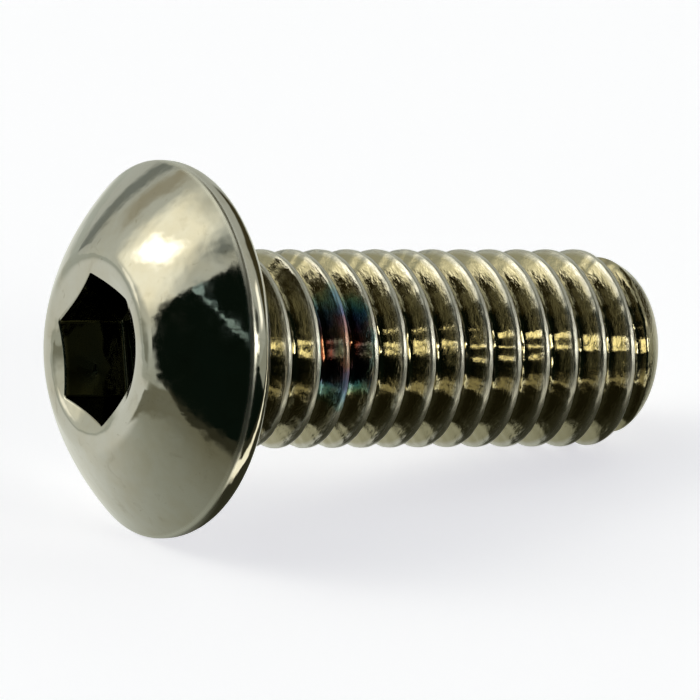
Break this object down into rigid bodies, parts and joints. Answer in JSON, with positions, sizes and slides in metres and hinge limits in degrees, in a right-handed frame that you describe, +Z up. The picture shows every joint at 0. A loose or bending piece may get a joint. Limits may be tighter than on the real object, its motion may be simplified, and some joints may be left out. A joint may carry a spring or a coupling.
{
  "type": "button head screw",
  "caption": "Button head machine screw with a hexagon socket, a short neck, a right-hand thread along the shank and a rounded point.",
  "frame": {"origin": "middle of the bottom of the box, on the surface that the screw lies on", "axes": "+X towards the point, +Z up. The screw's own axis lies in the XZ plane, from the head down to the point at about 10.3 degrees to the floor, because the head's rim is wider than the thread"},
  "size_m": [0.0152, 0.0088, 0.0088],
  "materials": {
    "plating": "bright smoky nickel plating on steel, polished by tumbling"
  },
  "bodies": {
    "root": {"screw": "plating"}
  },
  "joints": []
}
